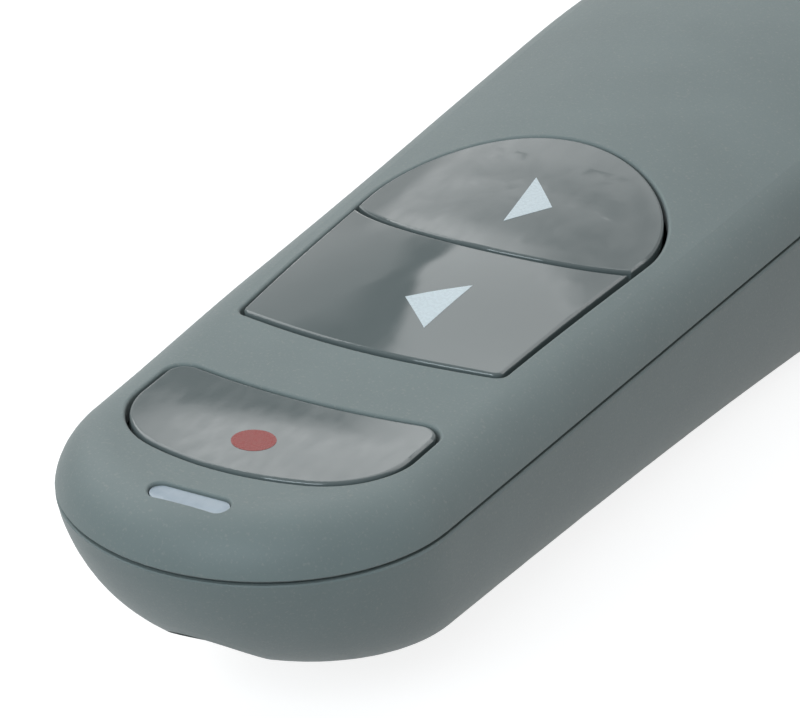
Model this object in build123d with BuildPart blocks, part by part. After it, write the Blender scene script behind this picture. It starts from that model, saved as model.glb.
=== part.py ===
"""Wireless presentation clicker, one STEP file for each separate piece, in millimetres.

The case lies on its underside. X runs across it, +Y runs from the nose to the tail and +Z is up.
The origin is under the middle of the case, on the surface that it rests on.
The case is a belt in plan: a round nose, a slightly larger round tail and two straight flanks.
A flat plane parts it into a shallow upper shell, which holds the buttons, and a deep lower shell.
"""

import math
import os

from build123d import *

os.makedirs("parts", exist_ok=True)

# ---------------------------------------------------------------- case, driving dimensions
nose_radius = 17.0
tail_radius = 19.0
end_spacing = 88.0
belly_depth = 19.5
face_rise = 4.4
wall = 1.8
floor = 1.7
flank_lean = 0.05
flank_power = 2.4
top_edge_radius = 4.9
seam_gap = 0.3
seam_bevel = 0.2
lip_thickness = 0.65
lip_height = 1.35
lip_clearance = 0.1

# The face is level at the nose and climbs to the grip, where it is also cambered from side to side.
ramp_start = 21.0
ramp_length = 30.0
ramp_rise = 2.6
camber_start = 21.0
camber_length = 30.0
camber = 0.0128
palm_start = 52.0
palm_length = 48.0
palm_rise = 0.6
tail_fall = 1.4

# The belly draws in towards the underside, and its nose runs back as a chin.
belly_inset = 6.6
belly_roundness = 1.5
chin_reach = 9.1
chin_power = 1.26
keel_reach = 11.3
keel_taper = 6.4
keel_power = 4.2
tail_lift = 2.0

# ---------------------------------------------------------------- fits
running_clearance = 0.06
slide_clearance = 0.15
button_gap = 0.35
seat_gap = 0.3

# ---------------------------------------------------------------- buttons
button_proud = 0.05
button_edge_radius = 0.3
pocket_lip_radius = 0.25
button_plate = 1.4
button_skirt = 1.2
button_travel = 0.5
retainer_drop = 0.5
retainer_length = 4.0
retainer_height = 0.8
retainer_reach = 1.1
post_radius = 2.2

laser_button_front = 10.0
laser_button_front_radius = 22.0
laser_button_half_width = 12.4
laser_button_corner_radius = 8.0
laser_button_rear = 24.5
laser_button_rear_sag = 1.3
laser_button_rear_corner = 1.7

next_button_front = 32.25
next_button_front_sag = 2.0
next_button_half_width = 12.1
next_button_corner_radius = 1.0
previous_button_radius = 13.1
previous_button_centre = 58.45
button_seam = 0.35
button_seam_front = 49.95
button_seam_radius = 17.9

# ---------------------------------------------------------------- light window
window_distance = 4.9
window_length = 7.3
window_width = 2.1
window_recess = 0.3
window_clearance = 0.1
window_lip_radius = 0.2
window_flange = 0.6
window_flange_height = 0.8
window_flange_drop = 1.1
window_stem_width = 3.0
light_size = (1.6, 1.0, 0.7)

# ---------------------------------------------------------------- board and what is on it
board_top = 17.8
board_thickness = 1.2
board_margin = 3.4
board_end = 70.0
switch_size = 6.0
switch_height = 2.4
switch_edge_radius = 0.3
plunger_radius = 1.75
plunger_proud = 0.7
plunger_length = 1.9
plunger_room = 0.1
laser_switch_distance = 17.0
next_switch_distance = 43.5
previous_switch_distance = 61.0
controller_size = (6.0, 6.0, 1.0)
controller_place = (-6.6, 28.5)
radio_size = (4.0, 4.0, 0.9)
radio_place = (6.5, 26.5)
crystal_size = (3.2, 2.5, 0.8)
crystal_place = (6.5, 31.2)
antenna_size = (2.0, 9.0, 1.1)
antenna_place = (-12.0, 50.0)

# ---------------------------------------------------------------- laser module
laser_mouth_height = 7.9
laser_tilt = 15.0
laser_mouth_radius = 4.1
laser_recess_depth = 3.4
laser_boss_wall = 1.3
laser_boss_depth = 9.0
barrel_radius = 3.0
barrel_wall = 0.5
barrel_length = 10.0
bezel_thickness = 1.0
bezel_bore_radius = 2.0
lens_thickness = 1.0
diode_radius = 2.4
diode_flange = 0.8
diode_length = 3.0
diode_pin_radius = 0.25
diode_pin_length = 1.4
diode_pin_ring = 1.2

# ---------------------------------------------------------------- batteries, AAA size
cell_radius = 5.2
cell_length = 44.5
cell_cap_radius = 1.9
cell_cap_height = 0.8
cell_edge_radius = 0.5
cell_spacing = 10.8
cell_clearance = 0.35
cell_floor_gap = 0.15
bay_front = 43.3
bulkhead = 1.2
bulkhead_foot = 4.2
roof_thickness = 1.0
plate_size = 8.0
plate_thickness = 0.4
spring_length = 2.0
spring_wire_radius = 0.25
spring_radius = 2.6
spring_turns = 2.5

# ---------------------------------------------------------------- battery cover
cover_half_width = 10.6
cover_front = 45.4
cover_top = 7.85
tongue_half_width = 1.4
tongue_length = 1.5
tongue_height = 1.0
tongue_root = 2.5
hook_length = 3.0
hook_reach = 1.1
hook_height = 1.2
hook_level = 4.6
hook_web = 1.0
grip_count = 4
grip_pitch = 2.4
grip_width = 1.0
grip_length = 9.0
grip_depth = 0.4
grip_distance = 82.0

# ---------------------------------------------------------------- receiver
receiver_width = 14.2
receiver_height = 6.6
receiver_cap_length = 6.4
receiver_level = 14.6
receiver_edge_radius = 0.6
receiver_rib_count = 3
receiver_rib_pitch = 1.4
receiver_rib_width = 0.6
receiver_rib_depth = 0.3
receiver_bay_wall = 1.2
receiver_end_room = 0.4
plug_width = 12.0
plug_height = 4.5
plug_length = 11.6
plug_wall = 0.3
plug_window = 2.2
plug_window_pitch = 4.6
plug_window_back = 5.2
tongue_thickness = 1.8
usb_tongue_width = 10.8
usb_tongue_length = 9.6
contact_count = 4
contact_pitch = 2.3
contact_width = 1.0
contact_length = 7.0
contact_thickness = 0.15
finger_notch_radius = 5.0
finger_notch_depth = 2.0

# ---------------------------------------------------------------- power switch
power_distance = 38.5
power_slot_width = 3.0
power_end_room = 0.2
power_knob_width = 2.6
power_knob_length = 4.0
power_knob_recess = 0.4
power_flange_width = 3.8
power_flange_length = 5.0
power_flange_height = 0.75
power_travel = 2.0
power_body_size = (5.0, 6.6, 3.0)
power_rail_width = 0.85
power_rib_count = 3
power_rib_pitch = 1.1
power_rib_width = 0.5
power_rib_depth = 0.3

# ---------------------------------------------------------------- screws
screw_radius = 1.0
screw_fit = 0.02
screw_clearance = 0.1
screw_head_radius = 1.8
screw_head_height = 1.3
screw_slot_radius = 0.7
screw_slot_depth = 0.7
head_clearance = 0.2
case_screw_length = 10.0
case_boss_radius = 2.8
case_head_seat = 12.0
front_screw_distance = 28.6
rear_screw_distance = 97.0
board_boss_radius = 2.0
board_screw_length = 4.2
board_screw_places = ((12.0, 27.5), (12.8, 64.5))

# ---------------------------------------------------------------- places worked out from the above
case_length = nose_radius + end_spacing + tail_radius
nose_tip = -case_length / 2
nose_centre = nose_tip + nose_radius
tail_centre = nose_centre + end_spacing
parting = belly_depth
face = parting + face_rise
above_all = face + ramp_rise + palm_rise + 1.5
board_bottom = board_top - board_thickness
plunger_top = board_top + switch_height + plunger_proud
cell_level = floor + cell_floor_gap + cell_clearance + cell_radius
roof_bottom = cell_level + cell_radius + seat_gap
roof_top = roof_bottom + roof_thickness
bay_length = cell_length + spring_length + 2 * plate_thickness
retainer_top_lift = -wall - retainer_drop
retainer_bottom_lift = retainer_top_lift - retainer_height


def place(distance):
    """Y at a distance behind the nose tip."""
    return nose_tip + distance


def smooth_step(value):
    """A smooth rise from 0 to 1."""
    value = min(max(value, 0.0), 1.0)
    return value * value * (3.0 - 2.0 * value)


def crown_height(distance):
    """Height of the face on the centre line."""
    ramp = ramp_rise * smooth_step((distance - ramp_start) / ramp_length)
    palm = palm_rise * smooth_step((distance - palm_start) / palm_length)
    fall_start = palm_start + palm_length
    fall = tail_fall * smooth_step((distance - fall_start) / (case_length - fall_start))
    return face + ramp + palm - fall


def crown_camber(distance):
    """How fast the face falls off to the sides, per millimetre squared."""
    return camber * smooth_step((distance - camber_start) / camber_length)


def crown_form(lift):
    """Everything between the underside's level and the face, raised by lift."""
    reach = tail_radius + 3.0
    overrun = 4.0
    steps = 14
    with BuildPart() as form:
        for step in range(steps + 1):
            distance = (case_length + 2 * overrun) * step / steps - overrun
            top = crown_height(distance) + lift
            drop = crown_camber(distance) * reach**2
            with BuildSketch(Plane.XZ.offset(-place(distance))):
                with BuildLine():
                    Bezier((-reach, top - drop), (0, top + drop), (reach, top - drop))
                    Line((reach, top - drop), (reach, 0))
                    Line((reach, 0), (-reach, 0))
                    Line((-reach, 0), (-reach, top - drop))
                make_face()
        loft()
    return form.part


def belt(front, front_radius, back, back_radius):
    """The closed outline round two circles on the centre line."""
    lean = math.asin((back_radius - front_radius) / (back - front))
    front_x = front_radius * math.cos(lean)
    front_y = front - front_radius * math.sin(lean)
    back_x = back_radius * math.cos(lean)
    back_y = back - back_radius * math.sin(lean)
    with BuildSketch() as outline:
        with BuildLine():
            ThreePointArc((front_x, front_y), (0, front - front_radius), (-front_x, front_y))
            Line((-front_x, front_y), (-back_x, back_y))
            ThreePointArc((-back_x, back_y), (0, back + back_radius), (back_x, back_y))
            Line((back_x, back_y), (front_x, front_y))
        make_face()
    return outline.sketch


def case_belt(inset):
    """The case's outline at the parting plane, drawn in by inset."""
    return belt(nose_centre, nose_radius - inset, tail_centre, tail_radius - inset)


def belly_ends(level, inset):
    """The belly's two end circles at a level from 0 at the parting plane to 1 at the underside."""
    draw_in = belly_inset * (1 - (1 - level**belly_roundness) ** (1 / belly_roundness)) + inset
    keel = level**keel_power
    front = nose_centre + chin_reach * level**chin_power + keel_reach * keel
    back = tail_centre - tail_lift * level
    return front, nose_radius - draw_in - keel_taper * keel, back, tail_radius - draw_in


def belly_form(inset, bottom):
    """The lower case form from the parting plane down to bottom, drawn in by inset all round."""
    with BuildPart() as form:
        for level in (0.0, 0.08, 0.2, 0.36, 0.54, 0.72, 0.86, 0.95, 1.0):
            with BuildSketch(Plane.XY.offset(parting - (parting - bottom) * level)):
                add(belt(*belly_ends(level, inset)))
        loft()
    return form.part


def top_form(inset, lift, edge):
    """The upper case form, drawn in by inset, its face moved by lift and its top edge rounded."""
    crown = crown_form(lift)
    rises = [(above_all - parting) * step / 6 for step in range(7)]
    with BuildPart() as form:
        for rise in rises:
            inward = inset + flank_lean * rise**flank_power
            with BuildSketch(Plane.XY.offset(parting + rise)):
                add(case_belt(inward))
        loft()
        add(crown, mode=Mode.INTERSECT)
        rim = form.faces().sort_by(Axis.Z)[-1].edges()
        fillet(rim, edge)
    return form.part


# ---------------------------------------------------------------- shared forms
belly_outside = belly_form(0.0, 0.0)
belly_inside = belly_form(wall, floor)
belly_middle = belly_form(wall / 2, floor / 2)
top_outside = top_form(0.0, 0.0, top_edge_radius)
top_inside = top_form(wall, -wall, top_edge_radius - wall)
top_middle = top_form(wall / 2, -wall / 2, top_edge_radius - wall / 2)


def finish(builder, name):
    """Label a finished piece and write its file."""
    builder.part.label = name
    export_step(builder.part, "parts/" + name + ".step")


def bevel_ring(height, way):
    """The ring that bevels a shell's outer edge at the seam, way being 1 for up and -1 for down."""
    spare = 0.1
    depth = seam_bevel + spare
    with BuildPart() as ring:
        with BuildSketch(Plane.XY.offset(height)):
            add(case_belt(-1.0))
        extrude(amount=way * depth)
        with BuildSketch(Plane.XY.offset(height)):
            add(case_belt(seam_bevel))
        with BuildSketch(Plane.XY.offset(height + way * depth)):
            add(case_belt(-spare))
        loft(ruled=True, mode=Mode.SUBTRACT)
    return ring.part


def block(low, high, mode=Mode.ADD):
    """Put a box from its low corner to its high corner into the current piece."""
    size = [high[axis] - low[axis] for axis in range(3)]
    middle = [(high[axis] + low[axis]) / 2 for axis in range(3)]
    with Locations(tuple(middle)):
        Box(*size, mode=mode)


# ---------------------------------------------------------------- button outlines
def laser_button_outline(grow):
    """The laser button: a wide arc towards the nose, round flanks and a nearly straight rear edge."""
    half = laser_button_half_width
    front = place(laser_button_front)
    rear = place(laser_button_rear)
    arc_centre = front + laser_button_front_radius
    shoulder = arc_centre - math.sqrt(laser_button_front_radius**2 - half**2)
    with BuildSketch() as outline:
        with BuildLine():
            ThreePointArc((-half, shoulder), (0, front), (half, shoulder))
            Line((half, shoulder), (half, rear))
            ThreePointArc((half, rear), (0, rear - laser_button_rear_sag), (-half, rear))
            Line((-half, rear), (-half, shoulder))
        make_face()
        corners = outline.vertices().sort_by(Axis.Y)
        fillet(corners[:2], laser_button_corner_radius)
        fillet(outline.vertices().sort_by(Axis.Y)[-2:], laser_button_rear_corner)
        offset(amount=grow)
    return outline.sketch


def button_pair_outline(grow):
    """The next and previous buttons together: a round arch over a tapered front."""
    half = next_button_half_width
    front = place(next_button_front)
    corner = front + next_button_front_sag
    centre = place(previous_button_centre)
    radius = previous_button_radius
    reach = math.hypot(half, centre - corner)
    turn = math.acos(radius / reach) - math.atan2(centre - corner, half)
    arch_x = radius * math.cos(turn)
    arch_y = centre + radius * math.sin(turn)
    with BuildSketch() as outline:
        with BuildLine():
            ThreePointArc((-half, corner), (0, front), (half, corner))
            Line((half, corner), (arch_x, arch_y))
            ThreePointArc((arch_x, arch_y), (0, centre + radius), (-arch_x, arch_y))
            Line((-arch_x, arch_y), (-half, corner))
        make_face()
        fillet(outline.vertices().sort_by(Axis.Y)[:2], next_button_corner_radius)
        offset(amount=grow)
    return outline.sketch


def seam_disc(radius):
    """The disc whose edge is the seam between the next and previous buttons."""
    with BuildSketch() as disc:
        with Locations((0, place(button_seam_front) + button_seam_radius)):
            Circle(radius)
    return disc.sketch


def next_button_outline(grow):
    """The part of the pair in front of the seam."""
    pair = button_pair_outline(grow)
    disc = seam_disc(button_seam_radius + button_seam / 2 - grow)
    with BuildSketch() as outline:
        add(pair)
        add(disc, mode=Mode.SUBTRACT)
    return outline.sketch


def previous_button_outline(grow):
    """The part of the pair behind the seam."""
    pair = button_pair_outline(grow)
    disc = seam_disc(button_seam_radius - button_seam / 2 + grow)
    with BuildSketch() as outline:
        add(pair)
        add(disc, mode=Mode.INTERSECT)
    return outline.sketch


# ---------------------------------------------------------------- upper shell
crown_button = crown_form(button_proud)
crown_plate = crown_form(button_proud - button_plate)
crown_retainer_top = crown_form(retainer_top_lift)
crown_retainer_bottom = crown_form(retainer_bottom_lift)
front_screw_y = place(front_screw_distance)
rear_screw_y = place(rear_screw_distance)
window_y = place(window_distance)

def outer_lips(shell):
    """The edges where the last cut runs out through the shell's outer face."""
    edges = shell.edges(Select.LAST).filter_by(lambda edge: edge.center().Z > face - wall / 2)
    return edges.filter_by(Axis.Z, reverse=True)


with BuildPart() as top_bosses:
    with BuildSketch(Plane.XY.offset(parting)):
        with Locations((0, front_screw_y), (0, rear_screw_y)):
            Circle(case_boss_radius)
            Circle(screw_radius + screw_fit, mode=Mode.SUBTRACT)
    extrude(amount=above_all - parting)
    add(top_middle, mode=Mode.INTERSECT)

with BuildPart() as top_shell:
    add(top_outside)
    add(top_inside, mode=Mode.SUBTRACT)
    with BuildSketch(Plane.XY.offset(parting)):
        add(case_belt(wall - lip_thickness - lip_clearance))
    extrude(amount=lip_height + lip_clearance, mode=Mode.SUBTRACT)
    with BuildSketch(Plane.XY.offset(parting)):
        add(laser_button_outline(button_gap))
        add(button_pair_outline(button_gap))
    extrude(amount=above_all - parting, mode=Mode.SUBTRACT)
    fillet(outer_lips(top_shell), pocket_lip_radius)
    with BuildSketch(Plane.XY.offset(parting)):
        with Locations((0, window_y)):
            SlotOverall(window_length, window_width)
    extrude(amount=above_all - parting, mode=Mode.SUBTRACT)
    fillet(outer_lips(top_shell), window_lip_radius)
    add(bevel_ring(parting, 1), mode=Mode.SUBTRACT)
    add(top_bosses.part)
finish(top_shell, "top_shell")


# ---------------------------------------------------------------- buttons
def finish_button(name, outline, inner_outline, post_distance, bar_distances):
    """A moulded cap that follows the face, with retaining bars inside the shell and a post."""
    half = outline.bounding_box().max.X + retainer_reach
    with BuildPart() as bars:
        with BuildSketch(Plane.XY.offset(plunger_top)):
            with Locations(*[(0, place(distance)) for distance in bar_distances]):
                Rectangle(2 * half, retainer_length)
        extrude(amount=above_all - plunger_top)
        add(crown_retainer_top, mode=Mode.INTERSECT)
        add(crown_retainer_bottom, mode=Mode.SUBTRACT)
    with BuildPart() as post:
        with BuildSketch(Plane.XY.offset(plunger_top)):
            with Locations((0, place(post_distance))):
                Circle(post_radius)
        extrude(amount=above_all - plunger_top)
        add(crown_form(button_proud - button_plate / 2), mode=Mode.INTERSECT)
    with BuildPart() as hollow:
        with BuildSketch(Plane.XY.offset(plunger_top)):
            add(inner_outline)
        extrude(amount=above_all - plunger_top)
        add(crown_plate, mode=Mode.INTERSECT)
    with BuildPart() as button:
        with BuildSketch(Plane.XY.offset(plunger_top)):
            add(outline)
        extrude(amount=above_all - plunger_top)
        add(crown_button, mode=Mode.INTERSECT)
        add(crown_retainer_bottom, mode=Mode.SUBTRACT)
        add(hollow.part, mode=Mode.SUBTRACT)
        add(bars.part)
        add(post.part)
        rim = button.faces().sort_by(Axis.Z)[-1].edges()
        fillet(rim, button_edge_radius)
    finish(button, name)
    return button.part


laser_button = finish_button(
    "laser_button",
    laser_button_outline(0),
    laser_button_outline(-button_skirt),
    laser_switch_distance,
    [laser_switch_distance],
)
next_button = finish_button(
    "next_button",
    next_button_outline(0),
    next_button_outline(-button_skirt),
    next_switch_distance,
    [next_button_front + 5.0, next_switch_distance],
)
previous_button = finish_button(
    "previous_button",
    previous_button_outline(0),
    previous_button_outline(-button_skirt),
    previous_switch_distance,
    [previous_button_centre],
)


# ---------------------------------------------------------------- laser module
laser_level = (parting - laser_mouth_height) / belly_depth
chin_front, chin_radius, chin_back, chin_back_radius = belly_ends(laser_level, 0.0)
laser_mouth = (0, chin_front - chin_radius, laser_mouth_height)
tilt = math.radians(laser_tilt)
beam = (0, -math.cos(tilt), -math.sin(tilt))


def laser_plane(depth):
    """The plane across the beam at a depth behind the mouth, facing out along the beam."""
    origin = [laser_mouth[axis] - depth * beam[axis] for axis in range(3)]
    return Plane(origin=origin, x_dir=(1, 0, 0), z_dir=beam)


with BuildPart() as laser_boss:
    with BuildSketch(laser_plane(laser_boss_depth)):
        Circle(laser_mouth_radius + laser_boss_wall)
    extrude(amount=laser_boss_depth + laser_mouth_radius)
    add(belly_outside, mode=Mode.INTERSECT)

with BuildPart() as laser_bore:
    with BuildSketch(laser_plane(laser_recess_depth)):
        Circle(laser_mouth_radius)
    extrude(amount=laser_recess_depth + 2 * laser_mouth_radius)
    with BuildSketch(laser_plane(laser_boss_depth + wall)):
        Circle(barrel_radius + running_clearance)
    extrude(amount=laser_boss_depth + wall)

with BuildPart() as laser_bezel:
    with BuildSketch(laser_plane(laser_recess_depth)):
        Circle(laser_mouth_radius - running_clearance)
        Circle(bezel_bore_radius, mode=Mode.SUBTRACT)
    extrude(amount=bezel_thickness)
    bore_edge = laser_bezel.edges().filter_by(GeomType.CIRCLE).sort_by(Axis.Y)[:2]
    chamfer(bore_edge.sort_by(SortBy.LENGTH)[0], bezel_thickness / 2)
    add(belly_middle, mode=Mode.INTERSECT)
finish(laser_bezel, "laser_bezel")

with BuildPart() as laser_barrel:
    with BuildSketch(laser_plane(laser_recess_depth + barrel_length)):
        Circle(barrel_radius)
    extrude(amount=barrel_length)
    with BuildSketch(laser_plane(laser_recess_depth)):
        Circle(barrel_radius - barrel_wall)
    extrude(amount=-lens_thickness, mode=Mode.SUBTRACT)
    with BuildSketch(laser_plane(laser_recess_depth + lens_thickness)):
        Circle(barrel_radius - 2 * barrel_wall)
    extrude(amount=-barrel_length, mode=Mode.SUBTRACT)
finish(laser_barrel, "laser_barrel")

with BuildPart() as laser_lens:
    with BuildSketch(laser_plane(laser_recess_depth + lens_thickness)):
        Circle(barrel_radius - barrel_wall)
    extrude(amount=lens_thickness)
finish(laser_lens, "laser_lens")

with BuildPart() as laser_diode:
    with BuildSketch(laser_plane(laser_recess_depth + barrel_length)):
        Circle(diode_radius)
    extrude(amount=-diode_flange)
    with BuildSketch(laser_plane(laser_recess_depth + barrel_length)):
        Circle(barrel_radius - 2 * barrel_wall - running_clearance)
    extrude(amount=diode_length - diode_flange)
    with BuildSketch(laser_plane(laser_recess_depth + barrel_length + diode_flange)):
        with PolarLocations(diode_pin_ring, 3):
            Circle(diode_pin_radius)
    extrude(amount=-diode_pin_length)
finish(laser_diode, "laser_diode")

# ---------------------------------------------------------------- receiver and its bay
bay_level = (parting - receiver_level) / belly_depth
tail_front, tail_front_radius, tail_back, tail_back_radius = belly_ends(bay_level, 0.0)
receiver_tail = tail_back + tail_back_radius
cap_inner = receiver_tail - receiver_cap_length
plug_end = cap_inner - plug_length
receiver_bay_end = plug_end - receiver_end_room
bay_half_width = receiver_width / 2 + slide_clearance
bay_half_height = receiver_height / 2 + slide_clearance


def receiver_level_plane(y):
    """The plane across the receiver at y, facing the tail."""
    return Plane(origin=(0, y, receiver_level), x_dir=(1, 0, 0), z_dir=(0, 1, 0))


with BuildPart() as receiver_cap:
    with BuildSketch(receiver_level_plane(cap_inner)):
        RectangleRounded(receiver_width, receiver_height, receiver_edge_radius)
    extrude(amount=2 * receiver_cap_length)
    add(belly_outside, mode=Mode.INTERSECT)
    with BuildSketch(receiver_level_plane(receiver_tail - receiver_rib_depth)):
        with GridLocations(receiver_rib_pitch, 0, receiver_rib_count, 1):
            Rectangle(receiver_rib_width, receiver_height / 2)
    extrude(amount=receiver_cap_length, mode=Mode.SUBTRACT)
finish(receiver_cap, "receiver_cap")

with BuildPart() as receiver_plug:
    with BuildSketch(receiver_level_plane(plug_end)):
        Rectangle(plug_width, plug_height)
        Rectangle(plug_width - 2 * plug_wall, plug_height - 2 * plug_wall, mode=Mode.SUBTRACT)
    extrude(amount=plug_length)
    with BuildSketch(Plane.XY.offset(receiver_level)):
        with Locations((0, plug_end + plug_window_back)):
            with GridLocations(plug_window_pitch, 0, 2, 1):
                Rectangle(plug_window, plug_window)
    extrude(amount=-plug_height, mode=Mode.SUBTRACT)
finish(receiver_plug, "receiver_plug")

usb_tongue_bottom = plug_height / 2 - plug_wall - tongue_thickness
with BuildPart() as receiver_tongue:
    with BuildSketch(receiver_level_plane(cap_inner - usb_tongue_length)):
        with Locations((0, -usb_tongue_bottom - tongue_thickness / 2)):
            Rectangle(usb_tongue_width, tongue_thickness)
    extrude(amount=usb_tongue_length)
finish(receiver_tongue, "receiver_tongue")

with BuildPart() as receiver_contacts:
    with BuildSketch(receiver_level_plane(cap_inner - usb_tongue_length + contact_thickness)):
        with Locations((0, -usb_tongue_bottom + contact_thickness / 2)):
            with GridLocations(contact_pitch, 0, contact_count, 1):
                Rectangle(contact_width, contact_thickness)
    extrude(amount=contact_length)
finish(receiver_contacts, "receiver_contacts")

# ---------------------------------------------------------------- lower shell
bay_start = place(bay_front)
bay_finish = bay_start + bay_length
cover_start = place(cover_front)
power_y = place(power_distance)
power_slot_length = power_knob_length + power_travel + 2 * power_end_room
power_rail_top = floor + slide_clearance + power_flange_height + slide_clearance
power_rail_inner = power_flange_width / 2 + slide_clearance
full_width = 2 * tail_radius
opening_half_width = cover_half_width + slide_clearance
opening_start = cover_start - slide_clearance
opening_top = cover_top + slide_clearance
tongue_foot = floor + slide_clearance
hook_y = bay_finish + bulkhead + seat_gap
bay_outer_half_width = bay_half_width + receiver_bay_wall
bay_outer_half_height = bay_half_height + receiver_bay_wall
plunger_bore_depth = plunger_length - plunger_proud + button_travel + plunger_room
board_screws = []
for x, distance in board_screw_places:
    board_screws += [(-x, place(distance)), (x, place(distance))]
bosses = [
    (0.0, parting, case_boss_radius, [(0, front_screw_y)]),
    (bulkhead_foot, parting - bulkhead_foot, case_boss_radius, [(0, rear_screw_y)]),
    (0.0, board_bottom, board_boss_radius, board_screws[:2]),
    (roof_top, board_bottom - roof_top, board_boss_radius, board_screws[2:]),
]

with BuildPart() as inner_walls:
    block((-full_width, bay_start - bulkhead, bulkhead_foot), (full_width, bay_start, roof_top))
    block((-full_width, bay_finish, bulkhead_foot), (full_width, bay_finish + bulkhead, roof_top))
    block((-full_width, bay_start, roof_bottom), (full_width, bay_finish, roof_top))
    block((-bulkhead / 2, bay_finish, bulkhead_foot), (bulkhead / 2, receiver_bay_end, roof_top))
    bay_low = receiver_level - bay_outer_half_height
    bay_high = receiver_level + bay_outer_half_height
    block(
        (-bay_outer_half_width, receiver_bay_end - receiver_bay_wall, bay_low),
        (bay_outer_half_width, receiver_tail, bay_high),
    )
    for foot, height, radius, places in bosses:
        with BuildSketch(Plane.XY.offset(foot)):
            with Locations(*places):
                Circle(radius)
        extrude(amount=height)
    for side in (-1, 1):
        edges = sorted((side * power_rail_inner, side * (power_rail_inner + power_rail_width)))
        block(
            (edges[0], power_y - power_body_size[1] / 2, 0),
            (edges[1], power_y + power_body_size[1] / 2, power_rail_top),
        )
    add(belly_middle, mode=Mode.INTERSECT)

with BuildPart() as lip:
    with BuildSketch(Plane.XY.offset(parting - 2 * seam_gap)):
        add(case_belt(wall - lip_thickness))
        add(case_belt(wall), mode=Mode.SUBTRACT)
    extrude(amount=lip_height + 2 * seam_gap)

with BuildPart() as cell_cradles:
    with BuildSketch(Plane.XZ.offset(-bay_start)):
        with Locations((0, cell_level)):
            with GridLocations(cell_spacing, 0, 2, 1):
                Circle(cell_radius + cell_clearance)
    extrude(amount=-bay_length)

with BuildPart() as lower_shell:
    add(belly_outside)
    add(belly_inside, mode=Mode.SUBTRACT)
    block(
        (-full_width, nose_tip - 1, parting - seam_gap),
        (full_width, -nose_tip + 1, parting + 1),
        mode=Mode.SUBTRACT,
    )
    add(bevel_ring(parting - seam_gap, -1), mode=Mode.SUBTRACT)
    add(lip.part)
    add(inner_walls.part)
    add(laser_boss.part)
    add(laser_bore.part, mode=Mode.SUBTRACT)
    add(cell_cradles.part, mode=Mode.SUBTRACT)
    block(
        (-opening_half_width, opening_start, -1),
        (opening_half_width, receiver_tail + 1, opening_top),
        mode=Mode.SUBTRACT,
    )
    with BuildSketch(receiver_level_plane(receiver_bay_end)):
        RectangleRounded(2 * bay_half_width, 2 * bay_half_height, receiver_edge_radius + slide_clearance)
    extrude(amount=receiver_cap_length + plug_length + receiver_end_room + 1, mode=Mode.SUBTRACT)
    notch_y = receiver_tail + finger_notch_radius - finger_notch_depth
    with Locations((0, notch_y, receiver_level - bay_half_height)):
        Sphere(finger_notch_radius, mode=Mode.SUBTRACT)
    with BuildSketch(Plane.XY):
        with Locations((0, power_y)):
            Rectangle(power_slot_width, power_slot_length)
    extrude(amount=floor + wall, mode=Mode.SUBTRACT)
    with BuildSketch(Plane.XY):
        with Locations((0, front_screw_y), (0, rear_screw_y)):
            Circle(screw_head_radius + head_clearance)
    extrude(amount=case_head_seat, mode=Mode.SUBTRACT)
    with BuildSketch(Plane.XY):
        with Locations((0, front_screw_y), (0, rear_screw_y)):
            Circle(screw_radius + screw_clearance)
    extrude(amount=parting, mode=Mode.SUBTRACT)
    with BuildSketch(Plane.XY.offset(board_top)):
        with Locations(*board_screws):
            Circle(screw_radius + screw_fit)
    extrude(amount=-board_screw_length - screw_clearance, mode=Mode.SUBTRACT)
finish(lower_shell, "lower_shell")

# ---------------------------------------------------------------- battery cover
with BuildPart() as battery_cover:
    add(belly_outside)
    add(belly_inside, mode=Mode.SUBTRACT)
    add(cell_cradles.part, mode=Mode.SUBTRACT)
    block(
        (-cover_half_width, cover_start, -1),
        (cover_half_width, receiver_tail + 1, cover_top),
        mode=Mode.INTERSECT,
    )
    with BuildSketch(Plane.XY):
        with Locations((0, place(grip_distance))):
            with GridLocations(0, grip_pitch, 1, grip_count):
                SlotOverall(grip_length, grip_width)
    extrude(amount=grip_depth, mode=Mode.SUBTRACT)
    block(
        (-tongue_half_width, cover_start, floor - slide_clearance),
        (tongue_half_width, cover_start + tongue_root, tongue_foot + tongue_height),
    )
    block(
        (-tongue_half_width, cover_start - tongue_length, tongue_foot),
        (tongue_half_width, cover_start, tongue_foot + tongue_height),
    )
    for side in (-1, 1):
        web = sorted((side * (cover_half_width - hook_web), side * cover_half_width))
        reach = sorted((side * (cover_half_width - hook_web), side * (cover_half_width + hook_reach)))
        block((web[0], hook_y, floor), (web[1], hook_y + hook_length, hook_level + hook_height))
        block((reach[0], hook_y, hook_level), (reach[1], hook_y + hook_length, hook_level + hook_height))
finish(battery_cover, "battery_cover")

# ---------------------------------------------------------------- batteries and their contacts
def battery(name, x, front, way):
    """One cell along Y, its raised end towards way, 1 for the tail and -1 for the nose."""
    can_length = cell_length - cell_cap_height
    base = front if way > 0 else front + cell_length
    plane = Plane(origin=(x, base, cell_level), x_dir=(1, 0, 0), z_dir=(0, way, 0))
    with BuildPart() as cell:
        with BuildSketch(plane):
            Circle(cell_radius)
        extrude(amount=can_length)
        ends = cell.edges().filter_by(GeomType.CIRCLE)
        fillet(ends, cell_edge_radius)
        with BuildSketch(plane.offset(can_length)):
            Circle(cell_cap_radius)
        extrude(amount=cell_cap_height)
    finish(cell, name)


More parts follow.
